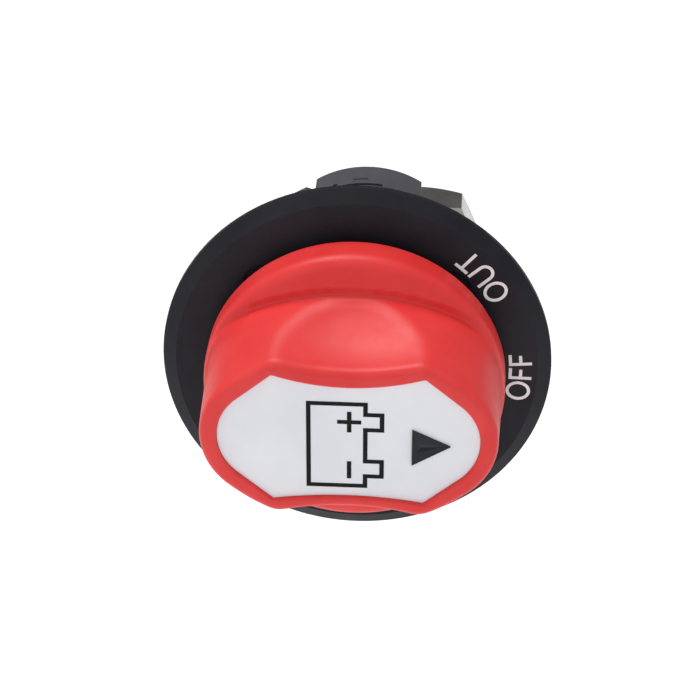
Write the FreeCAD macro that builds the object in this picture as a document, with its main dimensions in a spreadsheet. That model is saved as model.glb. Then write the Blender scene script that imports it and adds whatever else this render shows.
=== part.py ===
import FreeCAD, Part
import math
import os
import re
import Sketcher

# Panel-mount rotary battery switch with a removable knob.
#
# Every piece is modelled along the switch's own axis: local z = 0 is the panel face, +z runs out of
# the panel towards the hand, and local +x points at the OFF mark. One placement then stands the
# switch up in the part's frame: X towards OFF, Z up the panel, and the knob faces -Y.

doc = FreeCAD.newDocument("battery_switch")
sheet = doc.addObject("Spreadsheet::Sheet", "sizes")

# ---------------------------------------------------------------- driving dimensions, mm and degrees

SIZES = {
    # face plate
    "plate_radius": 34.0,
    "plate_edge": 1.6,
    "plate_top": 3.0,
    "plate_chamfer": 2.4,
    "plate_back_chamfer": 0.6,
    "plate_floor": 2.0,
    "plate_opening": 18.15,
    "flange_radius": 31.4,
    "flange_bottom": 0.8,
    "mount_circle": 45.0,
    "mount_hole": 1.95,
    "mount_head": 3.6,
    "mount_sink": 0.5,
    "gasket_inset": 0.2,
    "gasket_clearance": 0.6,
    # housing
    "drum_radius": 18.0,
    "drum_inner": 15.6,
    "drum_back": -21.0,
    "web_back": -5.0,
    "boss_top": 6.2,
    "neck_bore": 12.95,
    "latch_width": 9.2,
    "latch_back": -31.3,
    "latch_wall": 0.9,
    "latch_inset": 0.1,
    # keeper plate
    "keeper_radius": 16.0,
    "keeper_bottom": 4.5,
    "keeper_top": 6.0,
    "key_radius": 7.4,
    "lug_slot_radius": 9.9,
    "stop_slot_in": 11.1,
    "stop_slot_out": 12.5,
    "keeper_screw_circle": 14.4,
    "keeper_screw_radius": 0.8,
    "keeper_head_radius": 1.44,
    "keeper_head_height": 0.9,
    "driver_slot": 0.4,
    "driver_depth": 0.35,
    # rotor
    "neck_radius": 12.9,
    "neck_top": 4.3,
    "stem_radius": 7.0,
    "stem_clearance": 0.08,
    "rotor_flange_radius": 15.2,
    "rotor_flange_top": -5.2,
    "rotor_flange_back": -10.2,
    "hub_radius": 12.8,
    "hub_back": -20.2,
    "bridge_width": 10.0,
    "ball_radius": 1.75,
    "ball_circle": 13.8,
    "dimple_depth": 0.35,
    "detent_well_start": 8.8,
    "detent_spring_start": 8.9,
    "detent_coil_radius": 1.25,
    "detent_wire_radius": 0.2,
    "seal_minor": 0.75,
    "seal_height": -1.5,
    "seal_groove_depth": 1.55,
    "tab_top_gap": 0.3,
    # contacts
    "bridge_front": -18.0,
    "bridge_back": -20.2,
    "bridge_well_circle": 8.0,
    "bridge_well_radius": 2.5,
    "bridge_well_roof": 0.8,
    "bridge_coil_radius": 1.9,
    "bridge_wire_radius": 0.3,
    "tip_radius": 3.5,
    "tip_back": -21.1,
    "stud_circle": 11.5,
    "stud_radius": 5.0,
    "stud_root": 4.58,
    "stud_head_radius": 5.8,
    "stud_head_front": -21.3,
    "stud_head_back": -24.3,
    "stud_end": -55.0,
    # terminal block
    "block_front": -21.6,
    "block_back": -28.0,
    "shroud_back": -39.0,
    "shroud_inner": 16.0,
    "shroud_half": 9.8,
    "divider_half": 1.2,
    "window_left": -5.5,
    "window_right": 2.8,
    "window_height": 0.9,
    "window_depth": 1.6,
    "pin_hole_radius": 0.45,
    "pin_hole_x": -6.0,
    "pin_hole_depth": 2.6,
    "pin_hole_back": -32.95,
    "rim_groove_front": -33.7,
    "rim_groove_back": -34.1,
    "rim_groove_depth": 0.3,
    "rim_groove_left": -2.6,
    "rim_groove_right": 0.1,
    "seat_radius": 6.4,
    "nut_across_flats": 17.0,
    "nut_thickness": 8.0,
    "nut_right_front": -42.0,
    "nut_left_front": -39.0,
    "nut_chamfer_start": 8.16,
    "washer_radius": 10.0,
    "washer_thickness": 1.6,
    "lock_washer_radius": 8.0,
    "lock_washer_thickness": 2.0,
    "lock_washer_slit": 0.8,
    # knob
    "skirt_radius": 26.0,
    "skirt_bottom": 5.3,
    "skirt_top": 11.9,
    "skirt_edge": 1.6,
    "shoulder_rise": 1.6,
    "valley_width": 1.2,
    "valley_floor": 12.3,
    "grip_top": 27.2,
    "label_height": 26.5,
    "nose_centre": 12.4,
    "nose_radius": 9.5,
    "flank_corner_x": 12.6,
    "flank_corner_y": 12.25,
    "waist_upper": 10.2,
    "waist_lower": 11.2,
    "lip": 3.0,
    "crease": 19.5,
    "crown_fall": 2.9,
    "base_arc": 37.0,
    "side_arc": 54.0,
    "grip_start": 0.25,
    "grip_blend": 3.0,
    "grip_rounding": 2.0,
    "scoop_arc": 46.0,
    "scoop_reach": 26.0,
    "scoop_out": 39.15,
    "scoop_height": 29.97,
    "scoop_half_length": 30.0,
    "knob_wall": 2.4,
    "roof_wall": 1.4,
    "label_thickness": 0.8,
    "label_clearance": 0.05,
    "grip_roof": 3.2,
    "arrow_base": 10.6,
    "arrow_tip": 17.0,
    "arrow_tip_rise": -0.7,
    "arrow_low": -4.6,
    "arrow_high": 2.35,
    "arrow_height": 0.35,
    "stem_bottom": -3.5,
    "lug_radius": 9.6,
    "lug_half_width": 2.0,
    "lug_bottom": 2.0,
    "lug_top": 4.2,
    "stem_flange_radius": 9.8,
    "stem_flange_thickness": 2.2,
    "stem_screw_radius": 1.75,
    "screw_hole_gap": 0.3,
    "stem_screw_head": 3.3,
    "stem_screw_seat": 2.2,
    "stem_screw_length": 11.0,
    # fits, and how far joined or cutting forms run past a face
    "close_fit": 0.02,
    "free_fit": 0.05,
    "clearance": 0.1,
    "stem_end_gap": 0.4,
    "overlap": 0.5,
    "overrun": 1.0,
    # angles
    "on_angle": -90.0,
    "out_angle": 45.0,
    "flank_angle": 52.0,
    "stop_margin": 6.0,
    "stop_slack": 1.0,
    "lug_slot_margin": 18.0,
}

for row, (alias, number) in enumerate(SIZES.items(), start=1):
    sheet.set(f"A{row}", alias.replace("_", " "))
    sheet.set(f"B{row}", str(number))
    sheet.setAlias(f"B{row}", alias)
doc.recompute()


def linked(expression):
    """Rewrites an expression of dimension names so that it reads the sheet."""
    def replace(match):
        word = match.group(0)
        return "sizes." + word if word in SIZES else word
    return re.sub(r"[a-z_][a-z0-9_]*", replace, str(expression))


def value(expression):
    """The number that an expression of dimension names gives."""
    result = sheet.evalExpression(linked(expression))
    return float(getattr(result, "Value", result))


def bind(item, **properties):
    """Binds each named property to an expression; a double underscore stands for a dot."""
    for name, expression in properties.items():
        item.setExpression(name.replace("__", "."), linked(expression))
    return item


# The switch's axis lies along Y, with the knob's face towards -Y.
STAND_UP = FreeCAD.Placement(FreeCAD.Vector(0, 0, 0), FreeCAD.Rotation(FreeCAD.Vector(1, 0, 0), 90))

nodes = []


def finish(item, label):
    """Names a finished sub-part and puts it in the part's frame."""
    item.Label = label
    item.Placement = STAND_UP
    nodes.append(item)
    return item


# ---------------------------------------------------------------------- sketch and feature helpers

def new_body(label):
    return doc.addObject("PartDesign::Body", label)


def new_sketch(body, plane="XY_Plane", height="0"):
    sketch = body.newObject("Sketcher::SketchObject", "sketch")
    support = next(item for item in body.Origin.OriginFeatures if item.Role == plane)
    sketch.AttachmentSupport = [(support, "")]
    sketch.MapMode = "FlatFace"
    bind(sketch, AttachmentOffset__Base__z=height)
    return sketch


def dimension(sketch, kind, references, expression):
    index = sketch.addConstraint(Sketcher.Constraint(kind, *references, value(expression)))
    bind(sketch, **{f"Constraints[{index}]": expression})


def place_point(sketch, geometry, vertex, x, y):
    """Holds a sketch point at two expressions measured from the sketch's origin."""
    dimension(sketch, "DistanceX", (-1, 1, geometry, vertex), x)
    dimension(sketch, "DistanceY", (-1, 1, geometry, vertex), y)


def circle(sketch, radius, x="0", y="0"):
    centre = FreeCAD.Vector(value(x), value(y), 0)
    index = sketch.addGeometry(Part.Circle(centre, FreeCAD.Vector(0, 0, 1), value(radius)))
    dimension(sketch, "Radius", (index,), radius)
    if (x, y) == ("0", "0"):
        sketch.addConstraint(Sketcher.Constraint("Coincident", index, 3, -1, 1))
    else:
        place_point(sketch, index, 3, x, y)


def polygon(sketch, corners):
    """A closed outline of straight lines, with each corner held by two expressions."""
    spots = [FreeCAD.Vector(value(x), value(y), 0) for x, y in corners]
    first = None
    for index, (x, y) in enumerate(corners):
        line = Part.LineSegment(spots[index], spots[(index + 1) % len(spots)])
        edge = sketch.addGeometry(line)
        if first is None:
            first = edge
        else:
            sketch.addConstraint(Sketcher.Constraint("Coincident", edge - 1, 2, edge, 1))
        place_point(sketch, edge, 1, x, y)
    sketch.addConstraint(Sketcher.Constraint("Coincident", edge, 2, first, 1))


def turned(body, corners):
    """Revolves a profile of (radius, height) corners about the body's axis."""
    sketch = new_sketch(body, "XZ_Plane")
    polygon(sketch, corners)
    feature = body.newObject("PartDesign::Revolution", "turn")
    feature.Profile = sketch
    feature.ReferenceAxis = (sketch, ["V_Axis"])
    feature.Angle = 360
    return feature


def pad(body, sketch, length):
    feature = body.newObject("PartDesign::Pad", "pad")
    feature.Profile = sketch
    bind(feature, Length=length)
    return feature


def pocket(body, sketch, depth):
    """Cuts from the sketch towards the back of the switch, and checks that it did cut."""
    doc.recompute()
    before = body.Shape.Volume
    feature = body.newObject("PartDesign::Pocket", "pocket")
    feature.Profile = sketch
    bind(feature, Length=depth)
    doc.recompute()
    if body.Shape.Volume >= before:
        raise RuntimeError(f"a pocket in {body.Name} removed nothing")
    return feature


def groove(body, corners):
    """Cuts a revolved profile of (radius, height) corners out of the body."""
    doc.recompute()
    before = body.Shape.Volume
    sketch = new_sketch(body, "XZ_Plane")
    polygon(sketch, corners)
    feature = body.newObject("PartDesign::Groove", "groove")
    feature.Profile = sketch
    feature.ReferenceAxis = (sketch, ["V_Axis"])
    feature.Angle = 360
    doc.recompute()
    if body.Shape.Volume >= before:
        raise RuntimeError(f"a groove in {body.Name} removed nothing")
    return feature


def pattern(body, feature, sketch, count):
    """Repeats a feature evenly round the axis."""
    repeat = body.newObject("PartDesign::PolarPattern", "repeat")
    repeat.Originals = [feature]
    repeat.Axis = (sketch, ["N_Axis"])
    repeat.Angle = 360
    repeat.Occurrences = count
    body.Tip = repeat
    return repeat


def cylinder(name, radius, bottom, top, x="0", y="0"):
    item = doc.addObject("Part::Cylinder", name)
    bind(item, Radius=radius, Height=f"({top}) - ({bottom})")
    bind(item, Placement__Base__x=x, Placement__Base__y=y, Placement__Base__z=bottom)
    return item


def block(name, x_low, x_high, y_low, y_high, z_low, z_high):
    item = doc.addObject("Part::Box", name)
    bind(item, Length=f"({x_high}) - ({x_low})", Width=f"({y_high}) - ({y_low})")
    bind(item, Height=f"({z_high}) - ({z_low})")
    bind(item, Placement__Base__x=x_low, Placement__Base__y=y_low, Placement__Base__z=z_low)
    return item


def cut(name, base, tool):
    item = doc.addObject("Part::Cut", name)
    item.Base = base
    item.Tool = tool
    return item


def fuse(name, items):
    item = doc.addObject("Part::MultiFuse", name)
    item.Shapes = items
    item.Refine = True
    return item


def common(name, items):
    item = doc.addObject("Part::MultiCommon", name)
    item.Shapes = items
    return item


def group(name, items):
    """Several separate solids that share one node."""
    item = doc.addObject("Part::Compound", name)
    item.Links = items
    return item


def ring(name, outer, inner, bottom, top, x="0", y="0"):
    """A flat washer or sleeve."""
    body = cylinder(name + "_outer", outer, bottom, top, x, y)
    hole = cylinder(name + "_hole", inner, f"({bottom}) - overrun", f"({top}) + overrun", x, y)
    return cut(name, body, hole)


def shaped(name, shape):
    """A free-form solid made by Part's own functions."""
    item = doc.addObject("Part::Feature", name)
    item.Shape = shape
    return item


SPRING_TURNS = 5
SPRING_GAP = value("close_fit")


def spring(radius, wire, bottom, top, turns):
    """A compression spring standing on the axis, its ends at bottom and top."""
    pitch = (top - bottom - 2 * wire) / turns
    path = Part.makeHelix(pitch, pitch * turns, radius)
    section = Part.Wire(Part.Circle(FreeCAD.Vector(radius, 0, 0), FreeCAD.Vector(0, 1, 0), wire).toShape())
    solid = Part.Wire(path.Edges).makePipeShell([section], True, True)
    solid.translate(FreeCAD.Vector(0, 0, bottom + wire))
    return solid


# -------------------------------------------------------------------------------------- the panel side

# The first of the four mounting screws sits halfway between the X and Y directions.
MOUNT_SPOT = "mount_circle / 2 * cos(45)"
MOUNT_SCREWS = 4


def face_plate():
    """The round black plate in front of the panel, with four countersunk screw holes."""
    body = new_body("face_plate")
    turned(body, [
        ("plate_opening", "plate_floor"),
        ("flange_radius + clearance", "plate_floor"),
        ("flange_radius + clearance", "0"),
        ("plate_radius - plate_back_chamfer", "0"),
        ("plate_radius", "plate_back_chamfer"),
        ("plate_radius", "plate_edge"),
        ("plate_radius - plate_chamfer", "plate_top"),
        ("plate_opening", "plate_top"),
    ])
    hole_sketch = new_sketch(body, height="plate_top")
    circle(hole_sketch, "mount_hole", MOUNT_SPOT, MOUNT_SPOT)
    hole = pocket(body, hole_sketch, "plate_top")
    pattern(body, hole, hole_sketch, MOUNT_SCREWS)
    doc.recompute()
    sink_sketch = new_sketch(body, height="plate_top")
    circle(sink_sketch, "mount_head", MOUNT_SPOT, MOUNT_SPOT)
    sink = pocket(body, sink_sketch, "mount_sink")
    pattern(body, sink, sink_sketch, MOUNT_SCREWS)
    return finish(body, "face_plate")


def panel_gasket():
    """The flat rubber ring between the flange and the panel."""
    body = new_body("panel_gasket")
    sketch = new_sketch(body)
    circle(sketch, "flange_radius - gasket_inset")
    circle(sketch, "drum_radius + gasket_clearance")
    pad(body, sketch, "flange_bottom")
    hole_sketch = new_sketch(body, height="flange_bottom")
    circle(hole_sketch, "mount_hole", MOUNT_SPOT, MOUNT_SPOT)
    hole = pocket(body, hole_sketch, "flange_bottom")
    pattern(body, hole, hole_sketch, MOUNT_SCREWS)
    return finish(body, "panel_gasket")


def disc_hole(name, radius, angle, ring_radius, bottom, top):
    """A cylinder standing off the axis, at an angle round it."""
    x = f"({ring_radius}) * cos({angle})"
    y = f"({ring_radius}) * sin({angle})"
    return cylinder(name, radius, bottom, top, x, y)


def sector(name, inner, outer, start, sweep, bottom, top):
    """A ring cut down to the angles from start to start + sweep."""
    wedge = cylinder(name + "_wedge", outer, bottom, top)
    bind(wedge, Angle=sweep)
    wedge.Placement.Rotation = FreeCAD.Rotation(FreeCAD.Vector(0, 0, 1), value(start))
    core = cylinder(name + "_core", inner, f"({bottom}) - overrun", f"({top}) + overrun")
    return cut(name, wedge, core)


SCREW_ANGLES = (30, 150, 270)
BALL_ANGLES = (90, 270)
SIDES = ((1, "right"), (-1, "left"))


def housing():
    """The moulded drum: flange, boss, rotor bore, contact chamber and two latch tongues."""
    body = new_body("housing_turned")
    turned(body, [
        ("neck_bore", "web_back"),
        ("drum_inner", "web_back"),
        ("drum_inner", "drum_back"),
        ("drum_radius", "drum_back"),
        ("drum_radius", "flange_bottom"),
        ("flange_radius", "flange_bottom"),
        ("flange_radius", "plate_floor"),
        ("drum_radius", "plate_floor"),
        ("drum_radius", "boss_top"),
        ("keeper_radius + clearance", "boss_top"),
        ("keeper_radius + clearance", "keeper_bottom"),
        ("neck_bore", "keeper_bottom"),
    ])
    hole_sketch = new_sketch(body, height="plate_floor")
    circle(hole_sketch, "mount_hole", MOUNT_SPOT, MOUNT_SPOT)
    hole = pocket(body, hole_sketch, "plate_floor")
    pattern(body, hole, hole_sketch, MOUNT_SCREWS)
    tongues = []
    inside = "drum_radius - latch_wall - latch_inset"
    for word, y_low, y_high in (("upper", inside, "drum_radius"), ("lower", "-drum_radius", f"-({inside})")):
        tongue = block(
            f"latch_bar_{word}", "-latch_width / 2", "latch_width / 2", y_low, y_high,
            "latch_back", "drum_back + overrun",
        )
        limit = cylinder(
            f"latch_limit_{word}", "drum_radius", "latch_back - overrun", "drum_back + 2 * overrun",
        )
        tongues.append(common(f"latch_{word}", [tongue, limit]))
    tools = []
    for angle in SCREW_ANGLES:
        tools.append(disc_hole(
            f"housing_pilot_{angle}", "keeper_screw_radius + close_fit", angle,
            "keeper_screw_circle", "-2 * clearance", "keeper_bottom + overrun",
        ))
    # The balls drop into a pair of shallow dimples at each of the three positions.
    for stop in ("0", "on_angle", "out_angle"):
        for angle in BALL_ANGLES:
            dimple = doc.addObject("Part::Sphere", "dimple")
            reach = "(ball_circle + dimple_depth)"
            bind(dimple, Radius="ball_radius + clearance")
            bind(dimple, Placement__Base__x=f"{reach} * cos({angle} + {stop})")
            bind(dimple, Placement__Base__y=f"{reach} * sin({angle} + {stop})")
            bind(dimple, Placement__Base__z="(rotor_flange_top + rotor_flange_back) / 2")
            tools.append(dimple)
    whole = fuse("housing_blank", [body] + tongues)
    return finish(cut("housing_part", whole, fuse("housing_tools", tools)), "housing")


def keeper_plate():
    """The stainless plate that holds the rotor in, with the key hole and the stop slot."""
    plate = cylinder("keeper_disc", "keeper_radius", "keeper_bottom", "keeper_top")
    low = "keeper_bottom - overrun"
    high = "keeper_top + overrun"
    tools = [cylinder("key_hole", "key_radius", low, high)]
    # The lug slots leave the knob free to come off from OFF round to OUT, and hold it at ON.
    for start in ("90 - lug_slot_margin", "270 - lug_slot_margin"):
        wedge = cylinder("lug_slot", "lug_slot_radius", low, high)
        bind(wedge, Angle="out_angle + 2 * lug_slot_margin")
        wedge.Placement.Rotation = FreeCAD.Rotation(FreeCAD.Vector(0, 0, 1), value(start))
        tools.append(wedge)
    # The stop slot spans the rotor tab's travel, with 1 degree to spare at each end.
    tools.append(sector(
        "stop_slot", "stop_slot_in", "stop_slot_out", "180 + on_angle - stop_margin",
        "out_angle - on_angle + 2 * stop_margin", low, high,
    ))
    for angle in SCREW_ANGLES:
        tools.append(disc_hole(
            f"keeper_hole_{angle}", "keeper_screw_radius + clearance", angle,
            "keeper_screw_circle", low, high,
        ))
    return finish(cut("keeper_part", plate, fuse("keeper_tools", tools)), "keeper_plate")


def keeper_screws():
    """Three small slotted pan-head screws that hold the keeper plate to the boss."""
    screws = []
    for angle in SCREW_ANGLES:
        shank = disc_hole(
            f"screw_shank_{angle}", "keeper_screw_radius", angle, "keeper_screw_circle", "0", "keeper_top",
        )
        head = disc_hole(
            f"screw_head_{angle}", "keeper_head_radius", angle,
            "keeper_screw_circle", "keeper_top", "keeper_top + keeper_head_height",
        )
        middle = f"keeper_screw_circle * sin({angle})"
        slot = block(
            f"driver_slot_{angle}", "-drum_radius", "drum_radius",
            f"{middle} - driver_slot / 2", f"{middle} + driver_slot / 2",
            "keeper_top + keeper_head_height - driver_depth", "keeper_top + keeper_head_height + overrun",
        )
        screws.append(cut(f"keeper_screw_{angle}", fuse(f"keeper_screw_blank_{angle}", [shank, head]), slot))
    return finish(group("keeper_screw_set", screws), "keeper_screws")


# ---------------------------------------------------------------------------------------- the rotor

def rotor():
    """The nylon rotor: neck with key slots, detent flange, and a fork that carries the bridge."""
    body = new_body("rotor_turned")
    turned(body, [
        ("0", "hub_back"),
        ("hub_radius", "hub_back"),
        ("hub_radius", "rotor_flange_back"),
        ("rotor_flange_radius", "rotor_flange_back"),
        ("rotor_flange_radius", "rotor_flange_top"),
        ("neck_radius", "rotor_flange_top"),
        ("neck_radius", "neck_top"),
        ("stem_radius + stem_clearance", "neck_top"),
        ("stem_radius + stem_clearance", "stem_bottom - stem_end_gap"),
        ("0", "stem_bottom - stem_end_gap"),
    ])
    groove(body, [
        ("neck_radius - seal_groove_depth", "seal_height - seal_minor - clearance"),
        ("neck_radius + overrun", "seal_height - seal_minor - clearance"),
        ("neck_radius + overrun", "seal_height + seal_minor + clearance"),
        ("neck_radius - seal_groove_depth", "seal_height + seal_minor + clearance"),
    ])
    tab = sector(
        "stop_tab", "stop_slot_in + 2 * clearance", "stop_slot_out - 2 * clearance",
        "180 - (stop_margin - stop_slack)", "2 * (stop_margin - stop_slack)",
        "neck_top - overlap", "keeper_top - tab_top_gap",
    )
    tools = [block(
        "lug_slots",
        "-lug_half_width - clearance", "lug_half_width + clearance",
        "-lug_radius - 2 * clearance", "lug_radius + 2 * clearance",
        "lug_bottom - 2 * clearance", "neck_top + overrun",
    )]
    tools.append(block(
        "bridge_slot",
        "-bridge_width / 2 - clearance", "bridge_width / 2 + clearance",
        "-hub_radius - overrun", "hub_radius + overrun",
        "bridge_back - overrun", "bridge_front + clearance",
    ))
    for side, word in ((1, "upper"), (-1, "lower")):
        tools.append(cylinder(
            f"bridge_spring_well_{word}", "bridge_well_radius", "bridge_front",
            "rotor_flange_back - bridge_well_roof", "0", f"{side} * bridge_well_circle",
        ))
        well = doc.addObject("Part::Cylinder", f"detent_well_{word}")
        bind(well, Radius="ball_radius + stem_clearance", Height="rotor_flange_radius - detent_well_start")
        bind(well, Placement__Base__y=f"{side} * detent_well_start")
        bind(well, Placement__Base__z="(rotor_flange_top + rotor_flange_back) / 2")
        well.Placement.Rotation = FreeCAD.Rotation(FreeCAD.Vector(1, 0, 0), -90 * side)
        tools.append(well)
    whole = fuse("rotor_blank", [body, tab])
    return finish(cut("rotor_part", whole, fuse("rotor_tools", tools)), "rotor")


def rotor_seal():
    """The O-ring in the neck's groove."""
    ring_shape = doc.addObject("Part::Torus", "seal_ring")
    bind(ring_shape, Radius1="neck_bore - seal_minor - close_fit", Radius2="seal_minor")
    bind(ring_shape, Placement__Base__z="seal_height")
    return finish(group("seal_group", [ring_shape]), "rotor_seal")


def detent_balls():
    """Two steel balls that drop into the drum's dimples."""
    balls = []
    for side in (1, -1):
        ball = doc.addObject("Part::Sphere", "ball")
        bind(ball, Radius="ball_radius", Placement__Base__y=f"{side} * ball_circle")
        bind(ball, Placement__Base__z="(rotor_flange_top + rotor_flange_back) / 2")
        balls.append(ball)
    return finish(group("ball_pair", balls), "detent_balls")


def detent_springs():
    """Two coil springs that push the balls outwards."""
    length = value("ball_circle - ball_radius - detent_spring_start")
    coil = spring(value("detent_coil_radius"), value("detent_wire_radius"), 0, length, SPRING_TURNS)
    height = value("(rotor_flange_top + rotor_flange_back) / 2")
    springs = []
    for side in (1, -1):
        one = coil.copy()
        one.rotate(FreeCAD.Vector(0, 0, 0), FreeCAD.Vector(1, 0, 0), -90 * side)
        one.translate(FreeCAD.Vector(0, side * value("detent_spring_start"), height))
        springs.append(one)
    return finish(shaped("detent_spring_pair", Part.makeCompound(springs)), "detent_springs")


def bridge_springs():
    """Two coil springs that press the contact bridge back onto the studs."""
    bottom = value("bridge_front") + SPRING_GAP
    top = value("rotor_flange_back - bridge_well_roof") - SPRING_GAP
    springs = []
    for side in (1, -1):
        one = spring(value("bridge_coil_radius"), value("bridge_wire_radius"), bottom, top, SPRING_TURNS)
        one.translate(FreeCAD.Vector(0, side * value("bridge_well_circle"), 0))
        springs.append(one)
    return finish(shaped("bridge_spring_pair", Part.makeCompound(springs)), "bridge_springs")


def contact_bridge():
    """The copper bar that joins the two studs when the knob points at ON."""
    bar = block(
        "bridge_bar",
        "-bridge_width / 2", "bridge_width / 2",
        "-rotor_flange_radius", "rotor_flange_radius",
        "bridge_back", "bridge_front",
    )
    limit = cylinder("bridge_limit", "rotor_flange_radius", "bridge_back - overrun", "bridge_front + overrun")
    return finish(common("bridge_part", [bar, limit]), "contact_bridge")


def contact_tips():
    """Two silver-faced contact buttons on the bridge."""
    tips = []
    for side, word in ((1, "upper"), (-1, "lower")):
        tips.append(cylinder(
            f"tip_{word}", "tip_radius", "tip_back", "bridge_back", "0", f"{side} * stud_circle",
        ))
    return finish(group("tip_pair", tips), "contact_tips")


# -------------------------------------------------------------------------------- the terminal side

def terminal_block():
    """The moulded back: disc, two shroud arcs, and the divider between the studs."""
    body = new_body("block_turned")
    turned(body, [
        ("0", "block_back"),
        ("drum_radius", "block_back"),
        ("drum_radius", "drum_back"),
        ("drum_inner + clearance", "drum_back"),
        ("drum_inner + clearance", "block_front"),
        ("0", "block_front"),
    ])
    shroud = ring("shroud_ring", "drum_radius", "shroud_inner", "shroud_back", "block_back + overlap")
    span = block(
        "shroud_span", "-shroud_half", "shroud_half", "-drum_radius", "drum_radius",
        "shroud_back - overrun", "block_back + overrun",
    )
    arcs = common("shroud_arcs", [shroud, span])
    divider = block(
        "divider", "-divider_half", "divider_half", "-shroud_inner - overlap", "shroud_inner + overlap",
        "shroud_back", "block_back + overlap",
    )
    tools = []
    for side, word in ((1, "upper"), (-1, "lower")):
        middle = f"{side} * (drum_radius - latch_wall / 2 - latch_inset)"
        # The recess is open to the outside, where it reaches 1 mm past the drum.
        tools.append(block(
            f"latch_recess_{word}",
            "-latch_width / 2 - clearance", "latch_width / 2 + clearance",
            f"{middle} - (latch_wall + clearance) / 2 - {int(side < 0)}",
            f"{middle} + (latch_wall + clearance) / 2 + {int(side > 0)}",
            "latch_back - clearance", "drum_back + overrun",
        ))
        # Behind each tongue's end the shroud has a narrow release window with a pin hole beside it.
        tools.append(block(
            f"latch_window_{word}",
            "window_left", "window_right",
            f"{side} * drum_radius - window_depth", f"{side} * drum_radius + window_depth",
            "latch_back - window_height", "latch_back",
        ))
        pin_hole = doc.addObject("Part::Cylinder", f"pin_hole_{word}")
        bind(pin_hole, Radius="pin_hole_radius", Height="pin_hole_depth + overrun")
        bind(pin_hole, Placement__Base__x="pin_hole_x")
        bind(pin_hole, Placement__Base__y=f"{side} * (drum_radius - pin_hole_depth)")
        bind(pin_hole, Placement__Base__z="pin_hole_back")
        pin_hole.Placement.Rotation = FreeCAD.Rotation(FreeCAD.Vector(1, 0, 0), -90 * side)
        tools.append(pin_hole)
    rim_groove = ring(
        "rim_groove", "drum_radius + overrun", "drum_radius - rim_groove_depth",
        "rim_groove_back", "rim_groove_front",
    )
    groove_span = block(
        "groove_span", "rim_groove_left", "rim_groove_right",
        "-drum_radius - overrun", "drum_radius + overrun",
        "shroud_back", "block_back",
    )
    tools.append(common("rim_groove_arcs", [rim_groove, groove_span]))
    for side, word in SIDES:
        tools.append(cylinder(
            f"head_seat_{word}", "stud_head_radius + close_fit", "stud_head_back", "block_front + overrun",
            f"{side} * stud_circle",
        ))
        tools.append(cylinder(
            f"stud_hole_{word}", "stud_radius + close_fit",
            "block_back - overrun", "stud_head_back + overrun",
            f"{side} * stud_circle",
        ))
    whole = fuse("block_blank", [body, arcs, divider])
    return finish(cut("block_part", whole, fuse("block_tools", tools)), "terminal_block")


def terminal_studs():
    """Two M10 studs with flat contact heads inside the chamber."""
    studs = []
    for side, word in SIDES:
        nut_front = f"nut_{word}_front"
        middle = f"{side} * stud_circle"
        head = cylinder(f"stud_head_{word}", "stud_head_radius", "stud_head_back", "stud_head_front", middle)
        shank = cylinder(f"stud_shank_{word}", "stud_radius", nut_front, "stud_head_back", middle)
        root = cylinder(
            f"stud_root_{word}", "stud_root", f"{nut_front} - nut_thickness", nut_front, middle,
        )
        end = cylinder(f"stud_end_{word}", "stud_radius", "stud_end", f"{nut_front} - nut_thickness", middle)
        studs.append(fuse(f"stud_{word}", [head, shank, root, end]))
    return finish(group("stud_pair", studs), "terminal_studs")


def terminal_seats():
    """The plated collars that the cable lugs bear on."""
    seats = []
    for side, word in SIDES:
        seats.append(ring(
            f"seat_{word}", "seat_radius", "stud_radius + close_fit", "block_back - overrun", "block_back",
            f"{side} * stud_circle",
        ))
    return finish(group("seat_pair", seats), "terminal_seats")


def flat_washers():
    """A broad flat washer on each stud, in front of the lock washer."""
    washers = []
    for side, word in SIDES:
        bottom = f"nut_{word}_front + lock_washer_thickness"
        washers.append(ring(
            f"flat_washer_{word}", "washer_radius", "stud_radius + free_fit", bottom,
            f"{bottom} + washer_thickness", f"{side} * stud_circle",
        ))
    return finish(group("flat_washer_pair", washers), "flat_washers")


def lock_washers():
    """A split spring washer against the front of each nut."""
    washers = []
    for side, word in SIDES:
        middle = f"{side} * stud_circle"
        bottom = f"nut_{word}_front"
        whole = ring(
            f"lock_washer_{word}", "lock_washer_radius", "stud_radius + free_fit", bottom,
            f"{bottom} + lock_washer_thickness", middle,
        )
        slit = block(
            f"lock_washer_slit_{word}",
            f"{middle} - lock_washer_slit / 2", f"{middle} + lock_washer_slit / 2",
            "-lock_washer_radius - overrun", "0",
            f"{bottom} - overrun", f"{bottom} + lock_washer_thickness + overrun",
        )
        washers.append(cut(f"lock_washer_split_{word}", whole, slit))
    return finish(group("lock_washer_pair", washers), "lock_washers")


NUT_TURNS = (-7, 35)


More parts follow.
